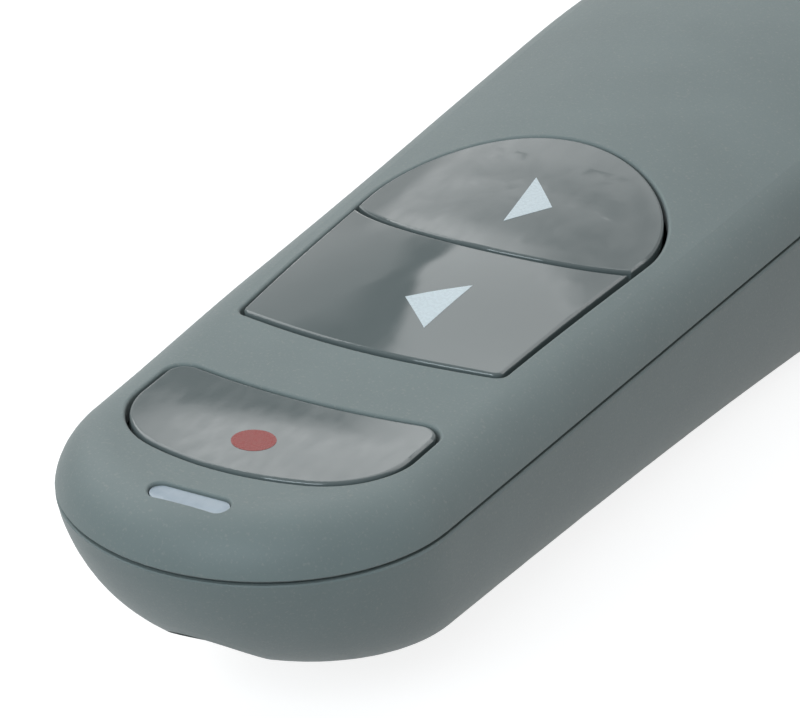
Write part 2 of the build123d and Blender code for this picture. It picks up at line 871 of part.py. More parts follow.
def contact_spring(x, start):
    """One coil spring along Y."""
    with BuildPart() as spring:
        height = spring_length - 2 * spring_wire_radius
        with BuildLine() as coil:
            Helix(
                pitch=height / spring_turns,
                height=height,
                radius=spring_radius,
                center=(x, start + spring_wire_radius, cell_level),
                direction=(0, 1, 0),
            )
        wire = coil.line
        with BuildSketch(Plane(origin=wire @ 0, z_dir=wire % 0)):
            Circle(spring_wire_radius)
        sweep()
    return spring.part


battery("battery_one", -cell_spacing / 2, bay_start + plate_thickness, -1)
battery("battery_two", cell_spacing / 2, bay_start + plate_thickness + spring_length, 1)

rear_spring = contact_spring(-cell_spacing / 2, bay_finish - plate_thickness - spring_length)
front_spring = contact_spring(cell_spacing / 2, bay_start + plate_thickness)
with BuildPart() as battery_springs:
    add(rear_spring)
    add(front_spring)
finish(battery_springs, "battery_springs")

with BuildPart() as battery_plates:
    for start in (bay_start, bay_finish - plate_thickness):
        with BuildSketch(Plane.XZ.offset(-start)):
            with Locations((0, cell_level)):
                with GridLocations(cell_spacing, 0, 2, 1):
                    Rectangle(plate_size, plate_size)
        extrude(amount=-plate_thickness)
finish(battery_plates, "battery_plates")

# ---------------------------------------------------------------- board and what is on it
with BuildPart() as circuit_board:
    with BuildSketch(Plane.XY.offset(board_bottom)):
        add(case_belt(board_margin))
        with Locations((0, place(board_end) + case_length / 2)):
            Rectangle(full_width, case_length, mode=Mode.SUBTRACT)
        with Locations((0, front_screw_y)):
            Circle(case_boss_radius + seat_gap, mode=Mode.SUBTRACT)
        with Locations(*board_screws):
            Circle(screw_radius + screw_clearance, mode=Mode.SUBTRACT)
    extrude(amount=board_thickness)
finish(circuit_board, "circuit_board")


def tactile_switch(name, distance):
    """A square switch body on the board, with a bore for its plunger."""
    with BuildPart() as body:
        with BuildSketch(Plane.XY.offset(board_top)):
            with Locations((0, place(distance))):
                RectangleRounded(switch_size, switch_size, switch_edge_radius)
        extrude(amount=switch_height)
        with BuildSketch(Plane.XY.offset(board_top + switch_height)):
            with Locations((0, place(distance))):
                Circle(plunger_radius + running_clearance)
        extrude(amount=-plunger_bore_depth, mode=Mode.SUBTRACT)
    finish(body, name + "_switch")
    with BuildPart() as plunger:
        with BuildSketch(Plane.XY.offset(plunger_top)):
            with Locations((0, place(distance))):
                Circle(plunger_radius)
        extrude(amount=-plunger_length)
    finish(plunger, name + "_plunger")


tactile_switch("laser", laser_switch_distance)
tactile_switch("next", next_switch_distance)
tactile_switch("previous", previous_switch_distance)


def board_chip(name, size, chip_place):
    """A rectangular part that lies on the board."""
    with BuildPart() as chip:
        with BuildSketch(Plane.XY.offset(board_top)):
            with Locations((chip_place[0], place(chip_place[1]))):
                Rectangle(size[0], size[1])
        extrude(amount=size[2])
    finish(chip, name)


board_chip("microcontroller", controller_size, controller_place)
board_chip("radio_chip", radio_size, radio_place)
board_chip("crystal_can", crystal_size, crystal_place)
board_chip("antenna", antenna_size, antenna_place)
board_chip("status_light", light_size, (0, window_distance))

# ---------------------------------------------------------------- light window
window_surface = top_form(0.0, -window_recess, top_edge_radius)
flange_top = face - wall - window_flange_drop
with BuildPart() as light_pipe:
    with BuildSketch(Plane.XY.offset(flange_top)):
        with Locations((0, window_y)):
            SlotOverall(window_length - 2 * window_clearance, window_width - 2 * window_clearance)
    extrude(amount=above_all - flange_top)
    add(window_surface, mode=Mode.INTERSECT)
    with BuildSketch(Plane.XY.offset(flange_top - window_flange_height)):
        with Locations((0, window_y)):
            SlotOverall(window_length + 2 * window_flange, window_width + 2 * window_flange)
    extrude(amount=window_flange_height)
    stem_bottom = board_top + light_size[2] + window_clearance
    with BuildSketch(Plane.XY.offset(stem_bottom)):
        with Locations((0, window_y)):
            Rectangle(window_stem_width, window_width)
    extrude(amount=flange_top - stem_bottom)
finish(light_pipe, "light_pipe")

# ---------------------------------------------------------------- power switch
knob_y = power_y - power_travel / 2
with BuildPart() as power_knob:
    with BuildSketch(Plane.XY.offset(power_knob_recess)):
        with Locations((0, knob_y)):
            Rectangle(power_knob_width, power_knob_length)
    extrude(amount=floor + slide_clearance - power_knob_recess)
    with BuildSketch(Plane.XY.offset(floor + slide_clearance)):
        with Locations((0, knob_y)):
            Rectangle(power_flange_width, power_flange_length)
    extrude(amount=power_flange_height)
    with BuildSketch(Plane.XY.offset(power_knob_recess)):
        with Locations((0, knob_y)):
            with GridLocations(0, power_rib_pitch, 1, power_rib_count):
                Rectangle(power_knob_width, power_rib_width)
    extrude(amount=power_rib_depth, mode=Mode.SUBTRACT)
finish(power_knob, "power_knob")

with BuildPart() as power_switch:
    with BuildSketch(Plane.XY.offset(power_rail_top)):
        with Locations((0, power_y)):
            Rectangle(power_body_size[0], power_body_size[1])
    extrude(amount=power_body_size[2])
finish(power_switch, "power_switch")


# ---------------------------------------------------------------- screws
def screws(name, places, head_seat, way, length):
    """Round-headed screws with a hexagon socket, pointing up for 1 and down for -1."""
    plane = Plane(origin=(0, 0, head_seat), x_dir=(1, 0, 0), z_dir=(0, 0, way))
    spots = [(x, way * y) for x, y in places]
    with BuildPart() as group:
        with BuildSketch(plane):
            with Locations(*spots):
                Circle(screw_radius)
        extrude(amount=length)
        with BuildSketch(plane):
            with Locations(*spots):
                Circle(screw_head_radius)
        extrude(amount=-screw_head_height)
        with BuildSketch(plane.offset(-screw_head_height)):
            with Locations(*spots):
                RegularPolygon(screw_slot_radius, 6)
        extrude(amount=screw_slot_depth, mode=Mode.SUBTRACT)
    finish(group, name)


screws("case_screws", [(0, front_screw_y), (0, rear_screw_y)], case_head_seat, 1, case_screw_length)
screws("board_screws", board_screws, board_top, -1, board_screw_length)
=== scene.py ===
"""Looks of a wireless presentation clicker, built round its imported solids.

The file is laid out like a Blender add-on: settings, one operator for each group of pieces,
one panel that lists them, and a main function that calls the operators in order.
Lengths are in metres and in the frame of the solids: X across, +Y from nose to tail, +Z up.
"""

import math

import bmesh
import bpy
from bpy.props import FloatProperty, FloatVectorProperty, PointerProperty
from mathutils import Matrix, Vector
from mathutils.bvhtree import BVHTree


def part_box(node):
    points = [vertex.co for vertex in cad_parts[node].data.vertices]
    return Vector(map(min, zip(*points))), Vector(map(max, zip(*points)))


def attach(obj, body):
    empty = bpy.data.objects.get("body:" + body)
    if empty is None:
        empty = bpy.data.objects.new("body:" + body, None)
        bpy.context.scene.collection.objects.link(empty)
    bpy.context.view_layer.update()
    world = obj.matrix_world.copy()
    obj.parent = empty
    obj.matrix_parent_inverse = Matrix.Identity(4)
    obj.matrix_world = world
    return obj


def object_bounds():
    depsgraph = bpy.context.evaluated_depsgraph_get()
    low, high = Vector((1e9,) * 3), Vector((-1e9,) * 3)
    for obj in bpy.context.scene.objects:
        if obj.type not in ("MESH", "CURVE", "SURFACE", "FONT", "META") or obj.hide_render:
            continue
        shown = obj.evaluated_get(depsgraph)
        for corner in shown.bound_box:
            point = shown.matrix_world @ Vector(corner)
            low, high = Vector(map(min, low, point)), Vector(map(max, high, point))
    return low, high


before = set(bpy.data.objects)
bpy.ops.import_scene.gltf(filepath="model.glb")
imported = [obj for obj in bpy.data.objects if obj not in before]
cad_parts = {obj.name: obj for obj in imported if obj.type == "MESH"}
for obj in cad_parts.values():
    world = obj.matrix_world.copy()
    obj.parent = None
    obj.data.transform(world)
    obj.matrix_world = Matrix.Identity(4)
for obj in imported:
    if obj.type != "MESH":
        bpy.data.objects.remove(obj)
cad_low, cad_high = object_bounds()

bl_info = {
    "name": "Presentation clicker looks",
    "version": (1, 0, 0),
    "blender": (4, 5, 0),
    "location": "View3D > Sidebar > Clicker",
    "description": "Finishes, printed marks, studio and camera for a wireless presentation clicker",
    "category": "Object",
}

MM = 0.001

# Where the camera stands and what it holds in view: angles in degrees, lengths in millimetres, the rest in pixels.
CAMERA_TURN, CAMERA_RISE, CAMERA_DISTANCE = 28.815, 27.407, 600.0
FOCAL_LENGTH, FRAME_WIDTH, FRAME_HEIGHT = 7500.0, 800.0, 718.0
SIGHTED_POINT, SIGHTED_PIXEL = Vector((0.0, -46.86, 24.175)), (253.8, 439.2)

# The printed marks in plan, in millimetres.
DOT_CENTRE, DOT_CORNERS = (-0.12, -46.66), 48
NEXT_ARROW = [(0.03, -21.76), (3.61, -25.06), (4.15, -17.66)]
PREVIOUS_ARROW = [(-0.18, 1.74), (1.2, -6.76), (3.48, -2.31)]

# The sky that gloss mirrors. Bearings are in degrees from +Y towards -X; limits are the ray's part along +Y.
PANEL_EDGE, PANEL_LIFT = (29.3, 30.2), (33.4, 35.4)
PANEL_TURN, PANEL_TURN_RISE = 2.6, (30.5, 33.0)
BESIDE_PANEL, EXTRA_LIFT = 0.3, 0.5
WALL_START, WALL_FADE, WALL_TOP = (0.763, 0.771), (0.772, 0.782), (0.78, 0.79)
WALL_FADE_SHARE, WALL_TOP_STRENGTH = 0.62, 0.8
WALL_END, BESIDE_WALL = (36.7, 37.5), 0.6
WALL_SHIFT, WALL_SHIFT_BEARING = 0.01, (33.0, 36.0)
GLOSS_SIDE = (0.3, 0.5)

# ---------------------------------------------------------------- settings
def colour_setting(name, description, default):
    return FloatVectorProperty(
        name=name, description=description, default=default, size=3, min=0.0, max=1.0, subtype="COLOR"
    )


def length_setting(name, description, default):
    return FloatProperty(name=name, description=description, default=default, unit="LENGTH", precision=5)


class ClickerShellSettings(bpy.types.PropertyGroup):
    colour: colour_setting("Shell colour", "Colour of the soft-touch shells", (0.182, 0.224, 0.224))
    speck_colour: colour_setting("Speck colour", "Colour of the fine specks in the shells", (0.25, 0.275, 0.262))
    grain: length_setting("Grain size", "Size of the moulded grain", 0.16 * MM)
    roughness: FloatProperty(name="Roughness", description="Roughness of the shells", default=0.56, min=0.0, max=1.0)


class ClickerButtonSettings(bpy.types.PropertyGroup):
    colour: colour_setting("Button colour", "Colour of the polished buttons", (0.118, 0.146, 0.148))
    roughness: FloatProperty(name="Roughness", description="Roughness of the buttons", default=0.08, min=0.0, max=1.0)


class ClickerMarkSettings(bpy.types.PropertyGroup):
    dot_colour: colour_setting("Dot colour", "Ink of the laser button's dot", (0.3, 0.05, 0.045))
    arrow_colour: colour_setting("Arrow colour", "Ink of the arrows", (0.62, 0.71, 0.75))
    ink_height: length_setting("Ink height", "How far the ink stands on the button", 0.02 * MM)
    dot_radius: length_setting("Dot radius", "Radius of the red dot", 1.84 * MM)


class ClickerStageSettings(bpy.types.PropertyGroup):
    floor_size: length_setting("Floor size", "Width of the floor", 3.0)
    key_power: FloatProperty(name="Key light", description="Power of the large light", default=2.6, min=0.0)
    fill_power: FloatProperty(name="Fill light", description="Power of the cool light", default=3.2, min=0.0)
    sky: FloatProperty(name="Sky", description="Strength of the sky overhead", default=0.47, min=0.0)
    horizon: FloatProperty(name="Horizon", description="Strength of the sky at the horizon", default=0.12, min=0.0)
    wall: FloatProperty(name="Wall", description="Strength of the pale wall behind, in gloss", default=2.7, min=0.0)
    panel: FloatProperty(name="Panel", description="Strength of the light panel, in gloss", default=2.3, min=0.0)


SETTINGS = {
    "clicker_shell": ClickerShellSettings,
    "clicker_button": ClickerButtonSettings,
    "clicker_mark": ClickerMarkSettings,
    "clicker_stage": ClickerStageSettings,
}


# ---------------------------------------------------------------- node helpers
class Wiring:
    """The few node calls that the finishes and the sky use."""

    def __init__(self, tree):
        self.tree = tree

    def node(self, kind, **inputs):
        made = self.tree.nodes.new(kind)
        for key, value in inputs.items():
            made.inputs[key.replace("_", " ")].default_value = value
        return made

    def link(self, output, target):
        self.tree.links.new(output, target)

    def feed(self, value, socket):
        """Link a socket, or set a plain number."""
        if isinstance(value, bpy.types.NodeSocket):
            self.link(value, socket)
        else:
            socket.default_value = value

    def ramp(self, value, low, high, start=0.4, end=0.6):
        """The value from start to end, mapped from low to high and held outside them."""
        made = self.node("ShaderNodeMapRange", From_Min=start, From_Max=end, To_Min=low, To_Max=high)
        self.link(value, made.inputs["Value"])
        return made.outputs["Result"]

    def mix(self, factor, first, second):
        """The mix of two colours by a value; a colour may be a socket."""
        made = self.tree.nodes.new("ShaderNodeMix")
        made.data_type = "RGBA"
        self.link(factor, made.inputs[0])
        for socket, colour in ((made.inputs[6], first), (made.inputs[7], second)):
            if isinstance(colour, bpy.types.NodeSocket):
                self.link(colour, socket)
            else:
                socket.default_value = (*colour[:3], 1.0)
        return made.outputs[2]

    def maths(self, way, first, second):
        made = self.tree.nodes.new("ShaderNodeMath")
        made.operation = way
        for socket, value in zip(made.inputs, (first, second)):
            self.feed(value, socket)
        return made.outputs[0]

    def blend(self, factor, first, second):
        """The mix of two numbers by a value; a number may be a socket."""
        made = self.tree.nodes.new("ShaderNodeMix")
        for socket, value in zip(made.inputs[:1] + made.inputs[2:4], (factor, first, second)):
            self.feed(value, socket)
        return made.outputs[0]


class Finish(Wiring):
    """A material and what its noise and bumps need."""

    def __init__(self, name):
        self.material = bpy.data.materials.new(name)
        self.material.use_nodes = True
        super().__init__(self.material.node_tree)
        self.shader = self.tree.nodes["Principled BSDF"]
        self.place = self.node("ShaderNodeTexCoord").outputs["Object"]

    def set(self, **values):
        for key, value in values.items():
            self.shader.inputs[key.replace("_", " ")].default_value = value

    def noise(self, size, detail=2.0, stretch=None):
        """Noise with features of about the given size in metres."""
        made = self.node("ShaderNodeTexNoise", Scale=1.0 / size, Detail=detail)
        source = self.place
        if stretch:
            mapping = self.node("ShaderNodeMapping")
            mapping.inputs["Scale"].default_value = stretch
            self.link(source, mapping.inputs["Vector"])
            source = mapping.outputs["Vector"]
        self.link(source, made.inputs["Vector"])
        return made.outputs["Fac"]

    def bump(self, height, depth, strength=1.0):
        made = self.node("ShaderNodeBump", Strength=strength, Distance=depth)
        self.link(height, made.inputs["Height"])
        self.link(made.outputs["Normal"], self.shader.inputs["Normal"])


def tinted(colour, gain):
    return tuple(min(channel * gain, 1.0) for channel in colour)


# ---------------------------------------------------------------- finishes
def soft_touch(settings):
    """Moulded shell with a soft-touch coat: fine grain, faint specks and slow changes of tone."""
    finish = Finish("soft_touch_shell")
    finish.set(Roughness=settings.roughness, Specular_IOR_Level=0.42, Sheen_Weight=0.12, Sheen_Roughness=0.45)
    slow = finish.ramp(finish.noise(9 * MM, 3.0), 0.0, 1.0, 0.35, 0.65)
    base = finish.mix(slow, tinted(settings.colour, 0.97), tinted(settings.colour, 1.03))
    specks = finish.ramp(finish.noise(settings.grain * 1.6, 1.0), 0.0, 0.55, 0.6, 0.74)
    finish.link(finish.mix(specks, base, settings.speck_colour), finish.shader.inputs["Base Color"])
    grain = finish.noise(settings.grain, 2.0)
    finish.link(
        finish.ramp(grain, settings.roughness - 0.06, settings.roughness + 0.06, 0.3, 0.7),
        finish.shader.inputs["Roughness"],
    )
    finish.bump(grain, 0.006 * MM, 0.35)
    return finish.material


def polished_cap(settings):
    """Polished moulding with the faint waves and hairlines of a handled button."""
    finish = Finish("polished_button")
    finish.set(Specular_IOR_Level=0.6)
    slow = finish.ramp(finish.noise(6 * MM, 2.0), 0.0, 1.0, 0.3, 0.7)
    finish.link(
        finish.mix(slow, tinted(settings.colour, 0.98), tinted(settings.colour, 1.02)),
        finish.shader.inputs["Base Color"],
    )
    smear = finish.noise(1.2 * MM, 4.0, (1.0, 0.35, 1.0))
    finish.link(
        finish.ramp(smear, settings.roughness * 0.8, settings.roughness * 1.3, 0.35, 0.7),
        finish.shader.inputs["Roughness"],
    )
    finish.bump(finish.noise(5 * MM, 0.0), 0.002 * MM, 0.4)
    return finish.material


def plain_moulding(name, colour, roughness, grain):
    """Moulded plastic of one colour with a fine grain."""
    finish = Finish(name)
    finish.set(Specular_IOR_Level=0.45)
    tone = finish.ramp(finish.noise(grain * 8, 3.0), 0.0, 1.0)
    finish.link(
        finish.mix(tone, tinted(colour, 0.85), tinted(colour, 1.12)), finish.shader.inputs["Base Color"]
    )
    fine = finish.noise(grain, 2.0)
    finish.link(finish.ramp(fine, roughness - 0.08, roughness + 0.08), finish.shader.inputs["Roughness"])
    finish.bump(fine, 0.01 * MM, 0.3)
    return finish.material


def bare_metal(name, colour, roughness, stretch):
    """Metal with the fine lines of rolling or turning and a few dull patches."""
    finish = Finish(name)
    finish.set(Metallic=1.0)
    lines = finish.noise(0.25 * MM, 3.0, stretch)
    patches = finish.ramp(finish.noise(2.5 * MM, 3.0), 0.0, 1.0)
    finish.link(
        finish.mix(patches, tinted(colour, 0.86), tinted(colour, 1.06)), finish.shader.inputs["Base Color"]
    )
    finish.link(finish.ramp(lines, roughness * 0.7, roughness * 1.4), finish.shader.inputs["Roughness"])
    finish.bump(lines, 0.004 * MM, 0.3)
    return finish.material


def frosted_window():
    """Pale, slightly blue light guide: polished outside and milky inside."""
    finish = Finish("frosted_window")
    finish.set(Roughness=0.22, Transmission_Weight=0.15, Subsurface_Weight=0.2, Subsurface_Scale=0.6 * MM)
    finish.set(Subsurface_Radius=(0.8, 0.9, 1.0), Specular_IOR_Level=0.5)
    cloud = finish.ramp(finish.noise(1.6 * MM, 2.0), 0.0, 1.0)
    finish.link(
        finish.mix(cloud, (0.42, 0.50, 0.57), (0.47, 0.55, 0.62)), finish.shader.inputs["Base Color"]
    )
    finish.bump(finish.noise(0.5 * MM, 1.0), 0.004 * MM, 0.3)
    return finish.material


def coated_lens():
    """Clear lens with a faint red coat."""
    finish = Finish("coated_lens")
    finish.set(Transmission_Weight=0.9, IOR=1.49, Coat_Weight=0.5, Coat_Roughness=0.03)
    haze = finish.noise(0.8 * MM, 2.0)
    finish.link(finish.mix(haze, (0.62, 0.2, 0.22), (0.8, 0.34, 0.34)), finish.shader.inputs["Base Color"])
    finish.link(finish.ramp(haze, 0.03, 0.08), finish.shader.inputs["Roughness"])
    return finish.material


def solder_mask():
    """Green lacquered board with raised tracks and a faint weave."""
    finish = Finish("lacquered_board")
    finish.set(Roughness=0.3, Coat_Weight=0.3, Coat_Roughness=0.2)
    brick = finish.node("ShaderNodeTexBrick", Scale=450.0, Mortar_Size=0.12)
    finish.link(finish.place, brick.inputs["Vector"])
    weave = finish.noise(0.12 * MM, 0.0)
    base = finish.mix(weave, (0.012, 0.085, 0.04), (0.016, 0.11, 0.05))
    finish.link(finish.mix(brick.outputs["Fac"], (0.03, 0.17, 0.075), base), finish.shader.inputs["Base Color"])
    finish.bump(brick.outputs["Fac"], 0.03 * MM, -0.4)
    return finish.material


def cell_film():
    """Shrink film over a cell: a dark sleeve with a pale band and bare metal at both ends."""
    finish = Finish("cell_film")
    finish.set(Coat_Weight=0.6, Coat_Roughness=0.12)
    axes = finish.node("ShaderNodeSeparateXYZ")
    finish.link(finish.place, axes.inputs["Vector"])
    low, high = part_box("battery_one")
    along = finish.ramp(axes.outputs["Y"], 0.0, 1.0, low.y, high.y)
    band = finish.maths("GREATER_THAN", along, 0.7)
    ripple = finish.noise(3 * MM, 3.0, (1.0, 0.2, 1.0))
    sleeve = finish.mix(ripple, (0.03, 0.035, 0.04), (0.05, 0.055, 0.06))
    tones = finish.mix(band, sleeve, (0.42, 0.33, 0.12))
    low_end = finish.maths("LESS_THAN", axes.outputs["Y"], low.y + 1.2 * MM)
    high_end = finish.maths("GREATER_THAN", axes.outputs["Y"], high.y + 0.6 * MM)
    bare = finish.maths("MAXIMUM", low_end, high_end)
    finish.link(finish.mix(bare, tones, (0.55, 0.55, 0.54)), finish.shader.inputs["Base Color"])
    finish.link(bare, finish.shader.inputs["Metallic"])
    finish.link(finish.ramp(ripple, 0.2, 0.36), finish.shader.inputs["Roughness"])
    finish.bump(ripple, 0.02 * MM, 0.3)
    return finish.material


def printed_ink(name, colour):
    """Pad-printed ink: even, a little rough, with a grain too fine to show from afar."""
    finish = Finish(name)
    finish.set(Specular_IOR_Level=0.35)
    grain = finish.noise(0.3 * MM, 2.0)
    finish.link(
        finish.mix(finish.ramp(grain, 0.0, 1.0, 0.3, 0.7), tinted(colour, 0.98), tinted(colour, 1.02)),
        finish.shader.inputs["Base Color"],
    )
    finish.link(finish.ramp(grain, 0.2, 0.34), finish.shader.inputs["Roughness"])
    finish.bump(grain, 0.001 * MM, 0.3)
    return finish.material


def dress(material, *names):
    """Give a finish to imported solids."""
    for name in names:
        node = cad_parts[name]
        node.data.materials.clear()
        node.data.materials.append(material)


# ---------------------------------------------------------------- pieces
class CLICKER_OT_camera(bpy.types.Operator):
    """Place the camera in front of the nose, above it and to its left"""

    bl_idname = "clicker.camera"
    bl_label = "Camera"

    def execute(self, context):
        turn, rise = math.radians(CAMERA_TURN), math.radians(CAMERA_RISE)
        ahead = Vector((-math.sin(turn) * math.cos(rise), math.cos(turn) * math.cos(rise), -math.sin(rise)))
        right = Vector((math.cos(turn), math.sin(turn), 0.0))
        up = right.cross(ahead)
        across = (SIGHTED_PIXEL[0] - FRAME_WIDTH / 2) / FOCAL_LENGTH
        below = (SIGHTED_PIXEL[1] - FRAME_HEIGHT / 2) / FOCAL_LENGTH
        sight = ahead + across * right - below * up
        camera = bpy.data.objects.new("camera", bpy.data.cameras.new("camera"))
        camera.data.lens = FOCAL_LENGTH / FRAME_WIDTH * camera.data.sensor_width
        camera.data.clip_start, camera.data.clip_end = 0.01, 10.0
        axes = Matrix((right, up, -ahead)).transposed().to_4x4()
        camera.matrix_world = Matrix.Translation((SIGHTED_POINT - CAMERA_DISTANCE * sight) * MM) @ axes
        context.scene.collection.objects.link(camera)
        context.scene.camera = camera
        return {"FINISHED"}


class CLICKER_OT_shells(bpy.types.Operator):
    """Give the two shells, the battery cover and the receiver's cap their soft-touch coat"""

    bl_idname = "clicker.shells"
    bl_label = "Shells"

    def execute(self, context):
        coat = soft_touch(context.scene.clicker_shell)
        dress(coat, "top_shell", "lower_shell", "battery_cover", "receiver_cap")
        return {"FINISHED"}


class CLICKER_OT_buttons(bpy.types.Operator):
    """Polish the three buttons"""

    bl_idname = "clicker.buttons"
    bl_label = "Buttons"

    def execute(self, context):
        cap = polished_cap(context.scene.clicker_button)
        dress(cap, "laser_button", "next_button", "previous_button")
        return {"FINISHED"}


def printed_patch(name, outline, button, body, material, lift):
    """A thin print on a button: the outline in plan, in millimetres, filled, cut fine and laid on the button."""
    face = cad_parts[button]
    tree = BVHTree.FromPolygons(
        [vertex.co for vertex in face.data.vertices],
        [polygon.vertices for polygon in face.data.polygons],
    )
    above = cad_high.z + 1 * MM
    build = bmesh.new()
    rim = [build.verts.new((x * MM, y * MM, above)) for x, y in outline]
    build.faces.new(rim)
    bmesh.ops.triangulate(build, faces=build.faces[:])
    for _ in range(3):
        bmesh.ops.subdivide_edges(build, edges=build.edges[:], cuts=1, use_grid_fill=True)
    down = Vector((0, 0, -1))
    for vertex in build.verts:
        spot = tree.ray_cast(vertex.co, down)[0]
        if spot is None:
            raise RuntimeError(name + " runs off its button")
        vertex.co.z = spot.z + lift
    bmesh.ops.recalc_face_normals(build, faces=build.faces[:])
    if build.faces[:][0].normal.z < 0:
        bmesh.ops.reverse_faces(build, faces=build.faces[:])
    rim_edges = [edge for edge in build.edges if edge.is_boundary]
    grown = bmesh.ops.extrude_edge_only(build, edges=rim_edges)
    for edge in rim_edges:
        edge.smooth = False
    for item in grown["geom"]:
        if isinstance(item, bmesh.types.BMVert):
            item.co.z -= 2 * lift
    mesh = bpy.data.meshes.new(name)
    build.to_mesh(mesh)
    build.free()
    mesh.materials.append(material)
    for polygon in mesh.polygons:
        polygon.use_smooth = True
    patch = bpy.data.objects.new(name, mesh)
    bpy.context.scene.collection.objects.link(patch)
    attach(patch, body)


class CLICKER_OT_marks(bpy.types.Operator):
    """Print the red dot and the two arrows on the buttons"""

    bl_idname = "clicker.marks"
    bl_label = "Printed marks"

    def execute(self, context):
        marks = context.scene.clicker_mark
        red = printed_ink("red_ink", marks.dot_colour)
        pale = printed_ink("pale_ink", marks.arrow_colour)
        radius = marks.dot_radius / MM
        around = [math.tau * step / DOT_CORNERS for step in range(DOT_CORNERS)]
        x, y = DOT_CENTRE
        dot = [(x + radius * math.cos(turn), y + radius * math.sin(turn)) for turn in around]
        lift = marks.ink_height
        printed_patch("laser_dot", dot, "laser_button", "laser", red, lift)
        printed_patch("next_arrow", NEXT_ARROW, "next_button", "next", pale, lift)
        printed_patch("previous_arrow", PREVIOUS_ARROW, "previous_button", "previous", pale, lift)
        return {"FINISHED"}


class CLICKER_OT_light_window(bpy.types.Operator):
    """Finish the light window and the light under it"""

    bl_idname = "clicker.light_window"
    bl_label = "Light window"

    def execute(self, context):
        dress(frosted_window(), "light_pipe", "status_light")
        return {"FINISHED"}


class CLICKER_OT_laser_module(bpy.types.Operator):
    """Finish the laser's ring, lens, barrel and diode"""

    bl_idname = "clicker.laser_module"
    bl_label = "Laser module"

    def execute(self, context):
        dress(plain_moulding("dark_ring", (0.02, 0.021, 0.022), 0.4, 0.2 * MM), "laser_bezel")
        dress(coated_lens(), "laser_lens")
        dress(bare_metal("turned_brass", (0.72, 0.53, 0.24), 0.28, (1.0, 8.0, 1.0)), "laser_barrel")
        dress(bare_metal("bright_can", (0.62, 0.61, 0.58), 0.25, (1.0, 1.0, 1.0)), "laser_diode")
        return {"FINISHED"}


class CLICKER_OT_electronics(bpy.types.Operator):
    """Finish the circuit board, its chips and the buttons' switches"""

    bl_idname = "clicker.electronics"
    bl_label = "Electronics"

    def execute(self, context):
        dress(solder_mask(), "circuit_board")
        epoxy = plain_moulding("moulded_epoxy", (0.016, 0.016, 0.018), 0.5, 0.1 * MM)
        dress(epoxy, "microcontroller", "radio_chip", "laser_switch", "next_switch", "previous_switch")
        stem = plain_moulding("switch_plunger", (0.05, 0.05, 0.052), 0.4, 0.15 * MM)
        dress(stem, "laser_plunger", "next_plunger", "previous_plunger")
        dress(bare_metal("crystal_case", (0.64, 0.62, 0.57), 0.3, (6.0, 1.0, 1.0)), "crystal_can")
        dress(plain_moulding("fired_ceramic", (0.72, 0.7, 0.64), 0.6, 0.1 * MM), "antenna")
        return {"FINISHED"}


class CLICKER_OT_power(bpy.types.Operator):
    """Finish the power switch"""

    bl_idname = "clicker.power"
    bl_label = "Power switch"

    def execute(self, context):
        dress(plain_moulding("switch_knob", (0.025, 0.026, 0.028), 0.45, 0.15 * MM), "power_knob", "power_switch")
        return {"FINISHED"}


class CLICKER_OT_batteries(bpy.types.Operator):
    """Finish the cells, their springs and their contact plates"""

    bl_idname = "clicker.batteries"
    bl_label = "Batteries"

    def execute(self, context):
        dress(cell_film(), "battery_one", "battery_two")
        plated = bare_metal("plated_contact", (0.66, 0.65, 0.62), 0.22, (1.0, 1.0, 5.0))
        dress(plated, "battery_springs", "battery_plates")
        return {"FINISHED"}


class CLICKER_OT_receiver(bpy.types.Operator):
    """Finish the stowed receiver's plug"""

    bl_idname = "clicker.receiver"
    bl_label = "Receiver"

    def execute(self, context):
        dress(bare_metal("drawn_shield", (0.68, 0.67, 0.65), 0.2, (1.0, 6.0, 1.0)), "receiver_plug")
        dress(plain_moulding("plug_tongue", (0.02, 0.02, 0.022), 0.45, 0.12 * MM), "receiver_tongue")
        dress(bare_metal("gold_contact", (0.83, 0.62, 0.26), 0.2, (1.0, 6.0, 1.0)), "receiver_contacts")
        return {"FINISHED"}


class CLICKER_OT_screws(bpy.types.Operator):
    """Finish the screws"""

    bl_idname = "clicker.screws"
    bl_label = "Screws"

    def execute(self, context):
        dress(bare_metal("zinc_screw", (0.56, 0.56, 0.55), 0.3, (1.0, 1.0, 7.0)), "case_screws", "board_screws")
        return {"FINISHED"}


# ---------------------------------------------------------------- stage
def softbox(name, place, aim, width, height, power, colour=(1.0, 1.0, 1.0)):
    """A rectangular lamp at a place, turned towards a point."""
    light = bpy.data.lights.new(name, "AREA")
    light.shape = "RECTANGLE"
    light.size, light.size_y = width, height
    light.energy = power
    light.color = colour
    lamp = bpy.data.objects.new(name, light)
    lamp.location = place
    lamp.rotation_euler = (Vector(aim) - Vector(place)).to_track_quat("-Z", "Y").to_euler()
    bpy.context.scene.collection.objects.link(lamp)


